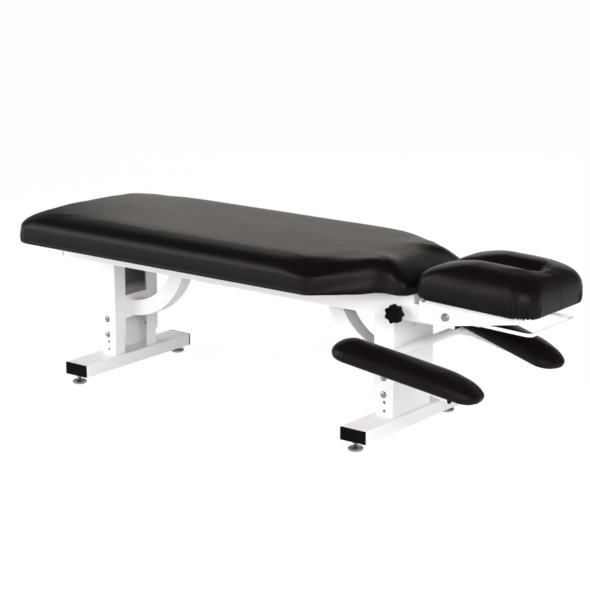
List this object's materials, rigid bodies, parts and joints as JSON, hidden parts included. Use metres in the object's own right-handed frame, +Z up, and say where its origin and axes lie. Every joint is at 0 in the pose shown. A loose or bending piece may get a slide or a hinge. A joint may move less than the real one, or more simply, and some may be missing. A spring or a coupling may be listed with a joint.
{
  "type": "chiropractic table",
  "caption": "Chiropractic treatment table with two height-set pedestals, tilting headrest with face slot, sloping armrests and levelling feet.",
  "frame": {"origin": "on the floor under the middle of the table's length and width", "axes": "+X along the table towards the head end, -Y towards the side with the tilt knob, +Z up"},
  "size_m": [1.8208, 0.684, 0.5614],
  "materials": {
    "white_coat": "satin powder coat",
    "vinyl": "dark brown vinyl upholstery over foam, low sheen",
    "plywood": "plain plywood",
    "zinc_steel": "zinc plated",
    "black_plastic": "moulded, fine texture",
    "nylon": "plain nylon"
  },
  "bodies": {
    "frame": {"near_rail": "white_coat", "far_rail": "white_coat", "rail_end_caps": "black_plastic", "foot_end_crossmember": "white_coat", "foot_brace_crossmember": "white_coat", "middle_crossmember": "white_coat", "head_brace_crossmember": "white_coat", "head_end_crossmember": "white_coat", "foot_sleeve": "white_coat", "head_sleeve": "white_coat", "foot_brace_plate": "white_coat", "head_brace_plate": "white_coat", "foot_brace": "white_coat", "head_brace": "white_coat", "foot_height_bolts": "zinc_steel", "head_height_bolts": "zinc_steel", "foot_height_nuts": "zinc_steel", "head_height_nuts": "zinc_steel", "board_tabs": "white_coat", "body_board": "plywood", "body_board_screws": "zinc_steel", "body_cushion": "vinyl", "armrest_tube": "white_coat", "armrest_screws": "zinc_steel", "armrest_tube_plugs": "black_plastic", "near_armrest_board": "plywood", "far_armrest_board": "plywood", "near_armrest_cushion": "vinyl", "far_armrest_cushion": "vinyl", "pivot_bolts": "zinc_steel", "pivot_nuts": "zinc_steel", "pivot_washers": "nylon", "clamp_washer": "zinc_steel", "clamp_nut": "zinc_steel"},
    "foot_base": {"foot_post": "white_coat", "foot_base_tube": "white_coat", "foot_base_caps": "black_plastic", "foot_leveller_nuts": "zinc_steel"},
    "head_base": {"head_post": "white_coat", "head_base_tube": "white_coat", "head_base_caps": "black_plastic", "head_leveller_nuts": "zinc_steel"},
    "foot_near_foot": {"foot_near_leveller": "zinc_steel"},
    "foot_far_foot": {"foot_far_leveller": "zinc_steel"},
    "head_near_foot": {"head_near_leveller": "zinc_steel"},
    "head_far_foot": {"head_far_leveller": "zinc_steel"},
    "headrest": {"near_headrest_arm": "white_coat", "far_headrest_arm": "white_coat", "headrest_tie": "white_coat", "headrest_board": "plywood", "headrest_board_screws": "zinc_steel", "headrest_cushion": "vinyl", "tilt_stop_screws": "zinc_steel", "paper_bar": "white_coat", "paper_bar_sockets": "white_coat", "link_lug": "white_coat", "link_pin": "zinc_steel"},
    "link": {"tilt_link": "zinc_steel"},
    "knob": {"tilt_knob": "black_plastic", "knob_stud": "zinc_steel"}
  },
  "joints": [
    {"name": "foot_height", "type": "slide", "parent": "frame", "child": "foot_base", "axis": [0, 0, -1], "range_m": [-0.0508, 0.1016]},
    {"name": "foot_near_levelling", "type": "slide", "parent": "foot_base", "child": "foot_near_foot", "axis": [0, 0, -1], "range_m": [-0.005, 0.012]},
    {"name": "foot_far_levelling", "type": "slide", "parent": "foot_base", "child": "foot_far_foot", "axis": [0, 0, -1], "range_m": [-0.005, 0.012]},
    {"name": "head_height", "type": "slide", "parent": "frame", "child": "head_base", "axis": [0, 0, -1], "range_m": [-0.0508, 0.1016]},
    {"name": "head_near_levelling", "type": "slide", "parent": "head_base", "child": "head_near_foot", "axis": [0, 0, -1], "range_m": [-0.005, 0.012]},
    {"name": "head_far_levelling", "type": "slide", "parent": "head_base", "child": "head_far_foot", "axis": [0, 0, -1], "range_m": [-0.005, 0.012]},
    {"name": "headrest_tilt", "type": "hinge", "parent": "frame", "child": "headrest", "pos_m": [0.6248, 0, 0.405], "axis": [0, -1, 0], "range_deg": [-25, 10]},
    {"name": "link_turn", "type": "hinge", "parent": "headrest", "child": "link", "pos_m": [0.61596, -0.0987, 0.43833], "axis": [0, -1, 0], "range_deg": [-11, 26]},
    {"name": "knob_turn", "type": "hinge", "parent": "frame", "child": "knob", "pos_m": [0.4658, -0.14, 0.393], "axis": [0, -1, 0], "range_deg": [0, 360]}
  ],
  "couplings": [
    {"joint": "link_turn", "follows": "headrest_tilt", "ratio": -0.966}
  ]
}
